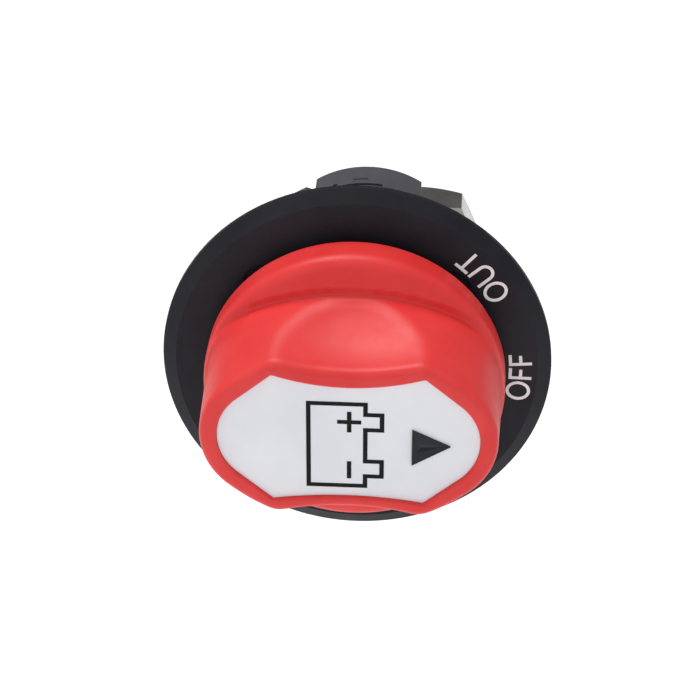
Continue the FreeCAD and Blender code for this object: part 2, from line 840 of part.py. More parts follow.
def terminal_nuts():
    """Two hex nuts, chamfered front and back, stopped at different turns on their threads."""
    nuts = []
    for (side, word), turn in zip(SIDES, NUT_TURNS):
        middle = f"{side} * stud_circle"
        hexagon = doc.addObject("Part::Prism", f"nut_hexagon_{word}")
        hexagon.Polygon = 6
        bind(hexagon, Circumradius="nut_across_flats / 2 / cos(30)", Height="nut_thickness")
        bind(hexagon, Placement__Base__x=middle, Placement__Base__z=f"nut_{word}_front - nut_thickness")
        hexagon.Placement.Rotation = FreeCAD.Rotation(FreeCAD.Vector(0, 0, 1), turn)
        cones = []
        for end, sign in (("back", 1), ("front", -1)):
            cone = doc.addObject("Part::Cone", f"nut_cone_{word}_{end}")
            bind(cone, Radius1="nut_chamfer_start", Radius2="nut_chamfer_start + nut_thickness * 2")
            bind(cone, Height="nut_thickness * 1.1")
            bind(cone, Placement__Base__x=middle)
            start = f"nut_{word}_front - nut_thickness" if sign > 0 else f"nut_{word}_front"
            bind(cone, Placement__Base__z=start)
            cone.Placement.Rotation = FreeCAD.Rotation(FreeCAD.Vector(1, 0, 0), 0 if sign > 0 else 180)
            cones.append(cone)
        trimmed = common(f"nut_blank_{word}", [hexagon] + cones)
        bore = cylinder(
            f"nut_bore_{word}", "stud_root + close_fit", f"nut_{word}_front - nut_thickness - overrun",
            f"nut_{word}_front + overrun", middle,
        )
        nuts.append(cut(f"nut_{word}", trimmed, bore))
    return finish(group("nut_pair", nuts), "terminal_nuts")


# ----------------------------------------------------------------------------------------- the knob

GRIP_POINTS = 60
FLANK_ANGLE = math.radians(value("flank_angle"))


def soft_min(first, second, radius):
    """The smaller of two lengths, rounded over where they cross."""
    blend = max(radius - abs(first - second), 0) / radius
    return min(first, second) - blend * blend * radius / 4


def grip_radius(angle, rise, inset=0.0):
    """Distance from the axis to the grip's side at an angle, with rise going from 0 to 1."""
    folded = math.atan2(abs(math.sin(angle)), abs(math.cos(angle)))
    centre = value("nose_centre")
    nose = value("nose_radius + lip")
    across = math.sin(folded) * centre
    tangent_angle = math.atan2(nose * math.sin(FLANK_ANGLE), centre + nose * math.cos(FLANK_ANGLE))
    if folded < tangent_angle:
        end = centre * math.cos(folded) + math.sqrt(nose ** 2 - across ** 2)
    else:
        end = (centre * math.cos(FLANK_ANGLE) + nose) / math.cos(folded - FLANK_ANGLE)
    # The grip's ends start a hair inside the skirt, so that the two walls never coincide.
    end = value("skirt_radius - grip_start") * (1 - rise) + end * rise
    crown = value("crease") - value("crown_fall") * rise
    bow = value("base_arc") * (1 - rise) + value("side_arc") * rise
    drop = crown - bow
    side = drop * math.sin(folded) + math.sqrt(bow ** 2 - (drop * math.cos(folded)) ** 2)
    return soft_min(end, side, value("grip_blend")) - inset


def grip_section(height, rise, inset=0.0):
    """A closed smooth curve round the grip at one height."""
    corners = []
    for index in range(GRIP_POINTS):
        angle = 2 * math.pi * index / GRIP_POINTS
        reach = grip_radius(angle, rise, inset)
        corners.append(FreeCAD.Vector(reach * math.cos(angle), reach * math.sin(angle), height))
    curve = Part.BSplineCurve()
    curve.interpolate(Points=corners, PeriodicFlag=True)
    return Part.Wire(curve.toShape())


def grip_solid(bottom, top, inset, rounding):
    """The grip between two heights, pulled in by inset, with its top edge rounded."""
    base = value("skirt_top")
    span = value("grip_top") - base
    sections = [
        grip_section(bottom, 0, inset),
        grip_section(base, 0, inset),
        grip_section(top - rounding, (top - rounding - base) / span, inset),
    ]
    if rounding > 0:
        for turn in (30, 60, 90):
            height = top - rounding + rounding * math.sin(math.radians(turn))
            pulled = inset + rounding * (1 - math.cos(math.radians(turn)))
            sections.append(grip_section(height, (height - base) / span, pulled))
    return Part.makeLoft(sections, True, True)


def scoop_cutter(side, inset):
    """A barrel, lying along x beside the grip, that hollows one side of it for the thumb."""
    centre = FreeCAD.Vector(0, value("scoop_out") * side, value("scoop_height"))
    half = value("scoop_half_length")
    belly = value("scoop_reach") + inset
    bow = value("scoop_arc") + inset
    end = belly - bow + math.sqrt(bow ** 2 - half ** 2)
    along = FreeCAD.Vector(half, 0, 0)
    towards_grip = FreeCAD.Vector(0, -side, 0)
    left = centre - along + towards_grip * end
    right = centre + along + towards_grip * end
    profile = [
        Part.Arc(left, centre + towards_grip * belly, right).toShape(),
        Part.LineSegment(right, centre + along).toShape(),
        Part.LineSegment(centre + along, centre - along).toShape(),
        Part.LineSegment(centre - along, left).toShape(),
    ]
    return Part.Face(Part.Wire(profile)).revolve(centre, FreeCAD.Vector(1, 0, 0), 360)


def label_outline(height, clearance=0.0):
    """The label's edge: a round nose at each end, straight flanks and two hollow sides."""
    centre = value("nose_centre")
    nose = value("nose_radius") + clearance
    corner = FreeCAD.Vector(value("flank_corner_x"), value("flank_corner_y") + clearance, height)
    tangent = FreeCAD.Vector(
        centre + nose * math.cos(FLANK_ANGLE), nose * math.sin(FLANK_ANGLE), height,
    )

    def at(point, x_side, y_side):
        return FreeCAD.Vector(point.x * x_side, point.y * y_side, height)

    edges = []
    for x_side in (1, -1):
        tip = FreeCAD.Vector((centre + nose) * x_side, 0, height)
        edges.append(Part.Arc(at(tangent, x_side, -1), tip, at(tangent, x_side, 1)).toShape())
        for y_side in (1, -1):
            edges.append(Part.LineSegment(at(tangent, x_side, y_side), at(corner, x_side, y_side)).toShape())
    for y_side, word in ((1, "upper"), (-1, "lower")):
        middle = FreeCAD.Vector(0, (value("waist_" + word) + clearance) * y_side, height)
        edges.append(Part.Arc(at(corner, -1, y_side), middle, at(corner, 1, y_side)).toShape())
    return Part.Wire(Part.__sortEdges__(edges))


def knob_shell():
    """The hollow red knob: round skirt, sloping shoulder, waisted grip and a lip round the label."""
    skirt = new_body("skirt_turned")
    turned(skirt, [
        ("0", "skirt_bottom"),
        ("skirt_radius", "skirt_bottom"),
        ("skirt_radius", "skirt_top - skirt_edge"),
        ("skirt_radius - skirt_edge * 0.3", "skirt_top - skirt_edge * 0.3"),
        ("skirt_radius - skirt_edge", "skirt_top"),
        ("crease - overrun", "skirt_top + shoulder_rise"),
        ("0", "skirt_top + shoulder_rise"),
    ])
    doc.recompute()
    # A narrow valley runs round the foot of the grip.
    valley_floor = value("valley_floor")
    valley_edge = -value("valley_width")
    valley = Part.makeLoft([
        grip_section(valley_floor, 0, valley_edge),
        grip_section(valley_floor + value("shoulder_rise") + 1, 0, valley_edge),
    ], True, True)
    foot = value("skirt_top - roof_wall - clearance")
    outer = grip_solid(foot, value("grip_top"), 0, value("grip_rounding"))
    for side in (1, -1):
        outer = outer.cut(scoop_cutter(side, 0))
    wall = value("knob_wall")
    inner = grip_solid(value("skirt_bottom") - 1, value("label_height - grip_roof"), wall, 0)
    for side in (1, -1):
        inner = inner.cut(scoop_cutter(side, wall))
    label_floor = value("label_height - label_thickness")
    recess = Part.Face(label_outline(label_floor, value("label_clearance"))).extrude(FreeCAD.Vector(0, 0, 5))
    cavity = shaped("grip_cavity", inner)
    pocket_tool = shaped("label_recess", recess)
    bowl = cylinder(
        "skirt_cavity", "skirt_radius - knob_wall", "skirt_bottom - overrun", "skirt_top - roof_wall",
    )
    screw_hole = cylinder(
        "screw_hole", "stem_screw_radius + screw_hole_gap", "label_height - grip_roof - overrun", "label_height",
    )
    head_seat = cylinder(
        "screw_head_seat", "stem_screw_head + clearance", "label_height - stem_screw_seat", "label_height",
    )
    skirt_ring = cut("skirt_with_valley", skirt, shaped("valley_tool", valley))
    whole = fuse("knob_blank", [skirt_ring, shaped("grip_block", outer)])
    tools = fuse("knob_tools", [cavity, bowl, pocket_tool, screw_hole, head_seat])
    return finish(cut("knob_part", whole, tools), "knob_shell")


def label_plate():
    """The white plate set into the top of the knob."""
    outline = shaped("label_edge", label_outline(value("label_height - label_thickness")))
    plate = doc.addObject("Part::Extrusion", "label_slab")
    plate.Base = outline
    plate.Dir = FreeCAD.Vector(0, 0, 1)
    plate.DirMode = "Custom"
    plate.Solid = True
    bind(plate, LengthFwd="label_thickness")
    return finish(plate, "label_plate")


def pointer_arrow():
    """The black arrow that points at the knob's position."""
    body = new_body("pointer_arrow")
    sketch = new_sketch(body, height="label_height")
    polygon(sketch, [
        ("arrow_base", "arrow_low"),
        ("arrow_tip", "arrow_tip_rise"),
        ("arrow_base", "arrow_high"),
    ])
    pad(body, sketch, "arrow_height")
    return finish(body, "pointer_arrow")


def knob_stem():
    """The stem that keys the knob into the rotor, with two lugs and a flange under the grip."""
    shank = cylinder("stem_shank", "stem_radius", "stem_bottom", "label_height - grip_roof")
    flange = cylinder(
        "stem_flange", "stem_flange_radius", "label_height - grip_roof - stem_flange_thickness",
        "label_height - grip_roof",
    )
    lugs = block(
        "stem_lugs", "-lug_half_width", "lug_half_width", "-lug_radius", "lug_radius",
        "lug_bottom", "lug_top",
    )
    limit = cylinder("lug_limit", "lug_radius", "lug_bottom - overrun", "lug_top + overrun")
    whole = fuse("stem_blank", [shank, flange, common("stem_lug_pair", [lugs, limit])])
    hole = cylinder(
        "stem_hole", "stem_screw_radius + close_fit",
        "label_height - stem_screw_length - overrun", "label_height",
    )
    return finish(cut("stem_part", whole, hole), "knob_stem")


def stem_screw():
    """The flat-headed screw under the label that holds the shell to the stem."""
    seat = "label_height - stem_screw_seat"
    head_top = "label_height - label_thickness"
    shank = cylinder("stem_screw_shank", "stem_screw_radius", "label_height - stem_screw_length", seat)
    head = cylinder("stem_screw_head_disc", "stem_screw_head", seat, f"{head_top} - free_fit")
    slot = block(
        "stem_screw_slot", "-stem_screw_head - overrun", "stem_screw_head + overrun",
        "-driver_slot", "driver_slot",
        f"{head_top} - free_fit - 2 * driver_depth", head_top,
    )
    return finish(cut("stem_screw_part", fuse("stem_screw_blank", [shank, head]), slot), "stem_screw")


face_plate()
panel_gasket()
housing()
keeper_plate()
keeper_screws()
rotor()
rotor_seal()
detent_balls()
detent_springs()
contact_bridge()
contact_tips()
bridge_springs()
terminal_block()
terminal_studs()
terminal_seats()
lock_washers()
flat_washers()
terminal_nuts()
knob_shell()
label_plate()
pointer_arrow()
knob_stem()
stem_screw()

# ------------------------------------------------------------------------------- checking and writing

doc.recompute()
for item in doc.Objects:
    if "Invalid" in item.State or "Error" in item.State:
        raise RuntimeError(f"{item.Label} failed to recompute: {item.State}")
os.makedirs("parts", exist_ok=True)
for node in nodes:
    if node.Shape.isNull() or not node.Shape.isValid():
        raise RuntimeError(f"{node.Label} has no valid shape")
    node.Shape.exportStep(os.path.join("parts", node.Label + ".step"))
    print(f"{node.Label}: {len(node.Shape.Solids)} solid(s), {node.Shape.Volume:.1f} mm3")
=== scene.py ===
import bpy
import bmesh
import math
import numpy as np
from mathutils import Matrix, Vector


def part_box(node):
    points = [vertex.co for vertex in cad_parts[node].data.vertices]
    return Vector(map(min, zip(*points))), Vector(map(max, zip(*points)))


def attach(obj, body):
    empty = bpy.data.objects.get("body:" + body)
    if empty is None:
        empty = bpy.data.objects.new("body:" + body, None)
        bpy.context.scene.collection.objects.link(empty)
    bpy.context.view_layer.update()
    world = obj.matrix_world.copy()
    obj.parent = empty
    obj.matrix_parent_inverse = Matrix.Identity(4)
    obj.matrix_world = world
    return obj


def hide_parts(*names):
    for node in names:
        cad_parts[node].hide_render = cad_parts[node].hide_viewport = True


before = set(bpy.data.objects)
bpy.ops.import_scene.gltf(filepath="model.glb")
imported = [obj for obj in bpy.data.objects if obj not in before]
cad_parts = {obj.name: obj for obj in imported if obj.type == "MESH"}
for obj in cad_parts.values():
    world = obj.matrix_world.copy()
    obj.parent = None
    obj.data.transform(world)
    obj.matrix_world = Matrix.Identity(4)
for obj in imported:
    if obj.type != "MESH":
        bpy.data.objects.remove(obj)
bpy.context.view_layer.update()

# A panel-mount rotary battery switch. Its axis is Y: the knob faces -Y and the studs run +Y.
# Lengths below are in millimetres along the switch's own axes (u towards OFF, v up the panel,
# w out of the panel towards the hand), and spot() turns them into metres in the part's frame.
# Lights and the floor are placed in metres in the part's frame.

MM = 0.001
MICRON = 0.000001


def spot(u, v, w):
    """A point in the part's frame, from its place along the switch's own axes."""
    return Vector((u * MM, -w * MM, v * MM))


def reach(node, axis):
    """How far a node reaches along an axis, in millimetres, as (low, high)."""
    low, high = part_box(node)
    return low[axis] / MM, high[axis] / MM


# ------------------------------------------------------------------------ sizes read from the frame

PLATE_TOP = -reach("face_plate", 1)[0]
SKIRT_RADIUS = reach("knob_shell", 0)[1]
SKIRT_BOTTOM = -reach("knob_shell", 1)[1]
GRIP_TOP = -reach("knob_shell", 1)[0]
LABEL_TOP = -reach("label_plate", 1)[0]
LABEL_BOTTOM = -reach("label_plate", 1)[1]
STUD_END = -reach("terminal_studs", 1)[1]
STUD_HEAD = -reach("terminal_studs", 1)[0]
ARROW_BASE, ARROW_TIP = reach("pointer_arrow", 0)
ARROW_LOW, ARROW_HIGH = reach("pointer_arrow", 2)
ARROW_TOP = -reach("pointer_arrow", 1)[0]

# The label's plan: a nose at each end, straight flanks, and two hollow sides that meet the flanks
# at corners. The same sizes are in the CAD part.
NOSE_CENTRE = 12.4
LABEL_NOSE = 9.5
FLANK = math.radians(52)
LABEL_CORNER = (12.6, 12.25)
LABEL_WAIST_UPPER = 10.2
LABEL_WAIST_LOWER = 11.2

# The knob's form. Its grip is the label's plan grown by the lip, with bowed sides that bow less and
# close in towards the top.
LIP = 3.0
WALL = 2.4
SKIRT_TOP = 11.9
# The shoulder rises inwards by its slope, and its scale makes its field a true distance.
SHOULDER_IN = 1.7
SHOULDER_SLOPE = 0.28
SHOULDER_SCALE = 0.963
SHOULDER_ROUND = 1.9
# The bowed sides' radius at the grip's foot and at its top, their reach, and how far that falls.
BASE_ARC = 37.0
SIDE_ARC = 54.0
CREASE = 19.5
CROWN_FALL = 2.9
GRIP_FOOT_IN = 0.55
GRIP_CORNER_ROUND = 3.0

# The barrel that hollows each side of the grip for the thumb.
SCOOP_ARC = 46.0
SCOOP_REACH = 26.0
SCOOP_OUT = 39.15
SCOOP_HEIGHT = 29.97
SCOOP_ROUND = 0.9

# The narrow valley round the foot of the grip.
VALLEY_RADIUS = 0.85
VALLEY_OUT = 0.45
VALLEY_UP = 0.2
VALLEY_ROUND = 0.4

# How round the rim of the grip's top and the grip's foot are, on the outside and inside.
RIM_ROUND, RIM_ROUND_INSIDE = 1.5, 0.5
FOOT_ROUND, FOOT_ROUND_INSIDE = 0.5, 1.1

# The knob's mesh: points on rays from a core on the axis.
SHELL_CORE = 0.5
AROUND = 288
RAY_REACH = 45.0
RAY_HALVINGS = 30

# --------------------------------------------------------------------------------------- the camera

CAMERA_TARGET = spot(-1.2, 2.0, 1.0)
CAMERA_DISTANCE = 0.399
CAMERA_AZIMUTH = math.radians(3.30)
CAMERA_ELEVATION = math.radians(30.87)
CAMERA_ROLL = math.radians(0.16)
CAMERA_LENS = 117.3
CAMERA_SENSOR = 36
CAMERA_CLIP = 0.01


def make_camera():
    """A long lens, above and in front of the knob."""
    data = bpy.data.cameras.new("camera")
    data.lens = CAMERA_LENS
    data.sensor_width = CAMERA_SENSOR
    data.clip_start = CAMERA_CLIP
    camera = bpy.data.objects.new("camera", data)
    bpy.context.scene.collection.objects.link(camera)
    outward = Vector((
        math.sin(CAMERA_AZIMUTH) * math.cos(CAMERA_ELEVATION),
        -math.cos(CAMERA_AZIMUTH) * math.cos(CAMERA_ELEVATION),
        math.sin(CAMERA_ELEVATION),
    ))
    turn = outward.to_track_quat("Z", "Y").to_matrix().to_4x4()
    roll = Matrix.Rotation(CAMERA_ROLL, 4, "Z")
    place = Matrix.Translation(CAMERA_TARGET + outward * CAMERA_DISTANCE)
    camera.matrix_world = place @ turn @ roll
    bpy.context.scene.camera = camera


make_camera()

# ----------------------------------------------------------------------------------------- lighting

KEY_PLACE, KEY_SIZE, KEY_POWER = (-0.22, 0.16, 0.92), 0.6, 5.9
FILL_PLACE, FILL_SIZE, FILL_POWER = (-0.35, -0.85, 0.45), 0.8, 0.9
# How strong the surround is in front of the switch and behind it, and where along Y it falls.
ROOM_FRONT, ROOM_BEHIND = 0.62, 0.16
ROOM_FALL = (-0.1, 0.8)
FLOOR_SIZE = 6
FLOOR_HEIGHT = -0.16


def area_light(name, place, size, power):
    """A round light that faces the origin."""
    data = bpy.data.lights.new(name, "AREA")
    data.shape = "DISK"
    data.size = size
    data.energy = power
    light = bpy.data.objects.new(name, data)
    bpy.context.scene.collection.objects.link(light)
    away = Vector(place)
    turn = away.to_track_quat("Z", "Y").to_matrix().to_4x4()
    light.matrix_world = Matrix.Translation(away) @ turn


def make_studio():
    """A soft overhead key from behind the panel, a front fill, and a pale surround."""
    area_light("key_light", KEY_PLACE, KEY_SIZE, KEY_POWER)
    area_light("front_fill", FILL_PLACE, FILL_SIZE, FILL_POWER)
    bpy.context.scene.world = pale_room()
    bpy.context.scene.view_settings.view_transform = "Standard"


def pale_room():
    """A pale surround that falls off behind the switch, for the metal and gloss to reflect."""
    world = bpy.data.worlds.new("pale_room")
    world.use_nodes = True
    tree = world.node_tree
    direction = tree.nodes.new("ShaderNodeTexCoord")
    split = tree.nodes.new("ShaderNodeSeparateXYZ")
    fall = tree.nodes.new("ShaderNodeMapRange")
    fall.interpolation_type = "SMOOTHSTEP"
    fall.inputs["From Min"].default_value = ROOM_FALL[0]
    fall.inputs["From Max"].default_value = ROOM_FALL[1]
    fall.inputs["To Min"].default_value = ROOM_FRONT
    fall.inputs["To Max"].default_value = ROOM_BEHIND
    tree.links.new(direction.outputs["Generated"], split.inputs["Vector"])
    tree.links.new(split.outputs["Y"], fall.inputs["Value"])
    tree.links.new(fall.outputs["Result"], tree.nodes["Background"].inputs["Strength"])
    tree.nodes["Background"].inputs["Color"].default_value = (1, 1, 1, 1)
    return world


def make_floor():
    """A wide white floor, well below the switch."""
    bpy.ops.mesh.primitive_plane_add(size=FLOOR_SIZE, location=(0, 0, FLOOR_HEIGHT))
    floor = bpy.context.object
    floor.name = "floor"
    floor.data.materials.append(plain_floor())


# ---------------------------------------------------------------------------------------- materials

# Noise mostly lies between these two values.
NOISE_LOW, NOISE_HIGH = 0.3, 0.7
# The pointiness at which an edge starts to look rubbed, that of a sharp edge, and how far the
# rubbed colour shows there.
EDGE_STARTS, EDGE_SHARP = 0.52, 0.60
EDGE_RUB = 0.25


class Shader:
    """A small helper round one material's node tree."""

    def __init__(self, name):
        self.material = bpy.data.materials.new(name)
        self.material.use_nodes = True
        self.tree = self.material.node_tree
        self.surface = self.tree.nodes["Principled BSDF"]

    def set(self, **values):
        """Sets sockets of the surface, named with underscores for spaces."""
        for key, amount in values.items():
            self.surface.inputs[key.replace("_", " ")].default_value = amount

    def node(self, kind, **settings):
        made = self.tree.nodes.new(kind)
        for key, amount in settings.items():
            setattr(made, key, amount)
        return made

    def link(self, source, target):
        self.tree.links.new(source, target)

    def paint(self, colour):
        self.link(colour, self.surface.inputs["Base Color"])

    def place(self):
        """Object coordinates, so that patterns stay with the piece."""
        return self.node("ShaderNodeTexCoord").outputs["Object"]

    def noise(self, scale, detail=4.0, roughness=0.6, stretch=None):
        """A noise value whose features are about 1 / scale metres wide."""
        texture = self.node("ShaderNodeTexNoise")
        texture.inputs["Scale"].default_value = scale
        texture.inputs["Detail"].default_value = detail
        texture.inputs["Roughness"].default_value = roughness
        vector = self.place()
        if stretch:
            mapping = self.node("ShaderNodeMapping")
            mapping.inputs["Scale"].default_value = stretch
            self.link(vector, mapping.inputs["Vector"])
            vector = mapping.outputs["Vector"]
        self.link(vector, texture.inputs["Vector"])
        return texture.outputs["Fac"]

    def ramp(self, value, low, high, at=(0.35, 0.65)):
        """Maps a value to a blend between two colours."""
        ramp = self.node("ShaderNodeValToRGB")
        ramp.color_ramp.elements[0].position = at[0]
        ramp.color_ramp.elements[1].position = at[1]
        ramp.color_ramp.elements[0].color = (*low, 1)
        ramp.color_ramp.elements[1].color = (*high, 1)
        self.link(value, ramp.inputs["Fac"])
        return ramp.outputs["Color"]

    def spread(self, value, low, high, target):
        """Drives a shader socket between two numbers."""
        span = self.node("ShaderNodeMapRange")
        span.inputs["From Min"].default_value = NOISE_LOW
        span.inputs["From Max"].default_value = NOISE_HIGH
        span.inputs["To Min"].default_value = low
        span.inputs["To Max"].default_value = high
        self.link(value, span.inputs["Value"])
        self.link(span.outputs["Result"], self.surface.inputs[target])

    def mix(self, value, first, second):
        """Blends two colours, each a tuple or a socket."""
        blend = self.node("ShaderNodeMix", data_type="RGBA")
        self.link(value, blend.inputs["Factor"])
        for source, socket in ((first, blend.inputs[6]), (second, blend.inputs[7])):
            if isinstance(source, tuple):
                socket.default_value = (*source, 1)
            else:
                self.link(source, socket)
        return blend.outputs[2]

    def bumps(self, layers):
        """Stacks (value, depth in microns) layers into one bump."""
        normal = None
        for value, depth in layers:
            bump = self.node("ShaderNodeBump")
            bump.inputs["Strength"].default_value = 1.0
            bump.inputs["Distance"].default_value = depth * MICRON
            self.link(value, bump.inputs["Height"])
            if normal is not None:
                self.link(normal, bump.inputs["Normal"])
            normal = bump.outputs["Normal"]
        self.link(normal, self.surface.inputs["Normal"])

    def edge_wear(self):
        """A value that is high on sharp outer edges."""
        geometry = self.node("ShaderNodeNewGeometry")
        ramp = self.node("ShaderNodeMapRange")
        ramp.inputs["From Min"].default_value = EDGE_STARTS
        ramp.inputs["From Max"].default_value = EDGE_SHARP
        self.link(geometry.outputs["Pointiness"], ramp.inputs["Value"])
        return ramp.outputs["Result"]


def moulded_plastic(name, colour, lighter, roughness, grain=2600.0, depth=12.0, specular=0.4):
    """Satin moulded plastic: fine spark-eroded grain (its depth in microns), slow colour drift and
    paler rubbed edges."""
    shade = Shader(name)
    drift = shade.noise(60.0, 3.0)
    drifted = tuple(0.6 * c + 0.4 * l for c, l in zip(colour, lighter))
    base = shade.ramp(drift, colour, drifted)
    rubbed = shade.node("ShaderNodeMath", operation="MULTIPLY")
    shade.link(shade.edge_wear(), rubbed.inputs[0])
    rubbed.inputs[1].default_value = EDGE_RUB
    shade.paint(shade.mix(rubbed.outputs[0], base, lighter))
    patches = shade.noise(180.0, 5.0)
    shade.spread(patches, roughness - 0.05, roughness + 0.07, "Roughness")
    shade.set(Specular_IOR_Level=specular)
    shade.bumps([(shade.noise(grain, 2.0), depth), (shade.noise(90.0, 2.0), depth * 3)])
    return shade.material


def printed_label():
    """White satin label stock with a very fine tooth and a trace of handling."""
    shade = Shader("white_label")
    shade.paint(shade.ramp(shade.noise(45.0, 4.0), (0.77, 0.78, 0.83), (0.83, 0.84, 0.885)))
    shade.spread(shade.noise(400.0, 5.0), 0.32, 0.46, "Roughness")
    shade.set(Specular_IOR_Level=0.4)
    shade.bumps([(shade.noise(1800.0, 2.0), 6.0)])
    return shade.material


def print_ink(name, colour):
    """Pad-printed ink: dense, slightly uneven, with a soft sheen."""
    shade = Shader(name)
    thin = tuple(c * 0.88 + 0.004 for c in colour)
    shade.paint(shade.ramp(shade.noise(900.0, 4.0), thin, colour))
    shade.spread(shade.noise(1500.0, 3.0), 0.38, 0.52, "Roughness")
    shade.set(Specular_IOR_Level=0.12)
    shade.bumps([(shade.noise(2500.0, 2.0), 4.0)])
    return shade.material


def gloss_insert():
    """Black gloss plastic of the pointer."""
    shade = Shader("black_insert")
    shade.paint(shade.ramp(shade.noise(120.0), (0.006, 0.007, 0.011), (0.012, 0.013, 0.019)))
    shade.spread(shade.noise(500.0, 4.0), 0.10, 0.20, "Roughness")
    shade.set(Specular_IOR_Level=0.27)
    shade.bumps([(shade.noise(700.0, 2.0), 12.0)])
    return shade.material


def plated_metal(name, bright, dull, roughness, brush=None, stains=0.0):
    """Bright metal with fine machining marks, a faint haze and duller patches."""
    shade = Shader(name)
    shade.paint(shade.ramp(shade.noise(140.0, 6.0), dull, bright, (0.30, 0.62)))
    shade.set(Metallic=1.0)
    shade.spread(shade.noise(320.0, 6.0), roughness - 0.06, roughness + 0.12, "Roughness")
    layers = [(shade.noise(220.0, 3.0), 20.0 + stains * 20.0)]
    if brush:
        layers.append((shade.noise(900.0, 4.0, 0.7, brush), 10.0))
    shade.bumps(layers)
    return shade.material


def soft_rubber():
    """Matt black rubber."""
    shade = Shader("rubber")
    shade.paint(shade.ramp(shade.noise(150.0), (0.012, 0.012, 0.012), (0.028, 0.028, 0.027)))
    shade.spread(shade.noise(600.0), 0.62, 0.8, "Roughness")
    shade.bumps([(shade.noise(1500.0, 3.0), 30.0)])
    return shade.material


def plain_floor():
    """A white floor with a faint glow, so that it fades into the pale surround."""
    shade = Shader("floor")
    shade.paint(shade.ramp(shade.noise(3.0), (0.90, 0.90, 0.90), (0.92, 0.92, 0.92)))
    shade.set(Roughness=0.9, Emission_Color=(1, 1, 1, 1), Emission_Strength=0.3)
    return shade.material


RED = moulded_plastic(
    "red_plastic", (0.72, 0.030, 0.030), (0.86, 0.075, 0.070), 0.42, specular=0.34,
)
BLACK = moulded_plastic(
    "black_plastic", (0.0100, 0.0095, 0.0140), (0.030, 0.030, 0.037), 0.45, 3200.0, 20.0, 0.16,
)
DARK = moulded_plastic(
    "dark_plastic", (0.056, 0.055, 0.063), (0.11, 0.11, 0.12), 0.42, 2400.0, 20.0, 0.3,
)
NYLON = moulded_plastic("nylon", (0.11, 0.11, 0.12), (0.2, 0.2, 0.21), 0.45)
LABEL = printed_label()
BLACK_INK = print_ink("black_ink", (0.006, 0.006, 0.008))
WHITE_INK = print_ink("white_ink", (0.94, 0.95, 0.97))
INSERT = gloss_insert()
RUBBER = soft_rubber()
# The nickel's colours are set near half the brightness of plated nickel. This is a painted dark
# reflection that stands in for a dim surround for the studs, nuts and washers to mirror.
NICKEL_PAINTED_DIM = plated_metal("nickel", (0.52, 0.51, 0.485), (0.38, 0.372, 0.355), 0.18, (1, 6, 1), 1.0)
STAINLESS = plated_metal("stainless", (0.66, 0.66, 0.67), (0.52, 0.52, 0.53), 0.30, (1, 8, 1))
SPRING = plated_metal("spring_steel", (0.58, 0.58, 0.60), (0.42, 0.42, 0.43), 0.28)
COPPER = plated_metal("copper", (0.80, 0.40, 0.26), (0.60, 0.27, 0.17), 0.30, (1, 1, 6), 1.0)
SILVER = plated_metal("silver", (0.88, 0.87, 0.83), (0.72, 0.71, 0.68), 0.22)
TINNED = plated_metal("tinned", (0.74, 0.73, 0.70), (0.58, 0.57, 0.56), 0.30, (6, 1, 1))

NODE_MATERIALS = {
    "face_plate": BLACK,
    "panel_gasket": RUBBER,
    "housing": DARK,
    "terminal_block": DARK,
    "keeper_plate": STAINLESS,
    "keeper_screws": STAINLESS,
    "rotor": NYLON,
    "rotor_seal": RUBBER,
    "detent_balls": STAINLESS,
    "detent_springs": SPRING,
    "bridge_springs": SPRING,
    "contact_bridge": COPPER,
    "contact_tips": SILVER,
    "terminal_studs": NICKEL_PAINTED_DIM,
    "terminal_seats": TINNED,
    "terminal_nuts": NICKEL_PAINTED_DIM,
    "flat_washers": NICKEL_PAINTED_DIM,
    "lock_washers": NICKEL_PAINTED_DIM,
    "knob_shell": RED,
    "label_plate": LABEL,
    "pointer_arrow": INSERT,
    "knob_stem": NYLON,
    "stem_screw": STAINLESS,
}


def dress_nodes():
    for name, material in NODE_MATERIALS.items():
        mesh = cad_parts[name].data
        mesh.materials.clear()
        mesh.materials.append(material)


# ------------------------------------------------------------------------------------- mesh helpers


MERGE_DISTANCE = 1e-7
SHELL_SHARP = 50
STUD_SHARP = 40


def add_piece(name, points, faces, material, body, smooth=True):
    """Makes a piece from points in millimetres (u, v, w) and puts it on its body."""
    mesh = bpy.data.meshes.new(name)
    mesh.from_pydata([spot(*p) for p in points], [], faces)
    mesh.validate()
    made = bmesh.new()
    made.from_mesh(mesh)
    bmesh.ops.remove_doubles(made, verts=made.verts, dist=MERGE_DISTANCE)
    bmesh.ops.recalc_face_normals(made, faces=made.faces)
    made.to_mesh(mesh)
    made.free()
    mesh.materials.append(material)
    for polygon in mesh.polygons:
        polygon.use_smooth = smooth
    piece = bpy.data.objects.new(name, mesh)
    bpy.context.scene.collection.objects.link(piece)
    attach(piece, body)
    return piece


def sharpen(piece, degrees):
    """Keeps edges sharper than an angle crisp under smooth shading."""
    made = bmesh.new()
    made.from_mesh(piece.data)
    for edge in made.edges:
        if edge.is_manifold and edge.calc_face_angle(0) > math.radians(degrees):
            edge.smooth = False
    made.to_mesh(piece.data)
    made.free()


def gather(parts):
    """Joins several (points, faces) lists into one."""
    points, faces = [], []
    for more_points, more_faces in parts:
        first = len(points)
        points += more_points
        faces += [tuple(first + index for index in face) for face in more_faces]
    return points, faces


def ring_faces(rings, around, closed_ends=False):
    """Quads between successive rings of points, each with the same count."""
    faces = []
    for ring in range(rings - 1):
        for step in range(around):
            after = (step + 1) % around
            low = ring * around
            high = low + around
            faces.append((low + step, low + after, high + after, high + step))
    if closed_ends:
        faces.append(tuple(reversed(range(around))))
        faces.append(tuple(range((rings - 1) * around, rings * around)))
    return faces


# ----------------------------------------------------------------------------------- the knob shell


def soft_min(first, second, radius):
    """The smaller of two fields, rounded over where they cross."""
    blend = np.maximum(radius - np.abs(first - second), 0) / radius
    return np.minimum(first, second) - blend * blend * radius / 4


def soft_max(first, second, radius):
    """The larger of two fields, rounded in where they cross."""
    return -soft_min(-first, -second, radius)


